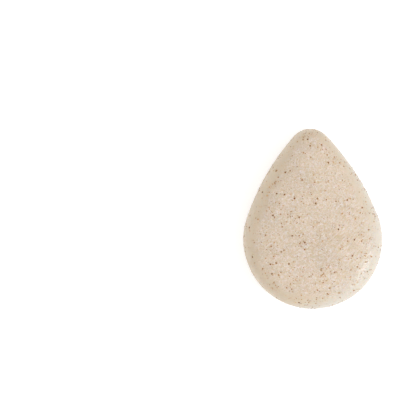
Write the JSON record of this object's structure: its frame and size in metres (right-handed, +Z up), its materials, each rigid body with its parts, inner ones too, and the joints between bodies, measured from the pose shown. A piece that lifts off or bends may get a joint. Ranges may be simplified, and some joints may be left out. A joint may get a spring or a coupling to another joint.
{
  "type": "konjac sponge",
  "caption": "Drop-shaped facial sponge of konjac gel with a wide rounded rim, a low crown, a flat back to rest on and grains of ground walnut shell set in its skin.",
  "frame": {"origin": "middle of the flat back that the sponge rests on", "axes": "+Y along the sponge to its tip, +Z up through the crown, +X across"},
  "size_m": [0.0646, 0.0841, 0.027],
  "materials": {
    "konjac_gel": "matte",
    "walnut_shell_dark": "matte",
    "walnut_shell": "matte",
    "walnut_shell_light": "matte"
  },
  "bodies": {
    "root": {"sponge_body": "konjac_gel", "coarse_walnut_grains": "walnut_shell_dark", "medium_walnut_grains": "walnut_shell", "fine_walnut_grains": "walnut_shell_light"}
  },
  "joints": []
}
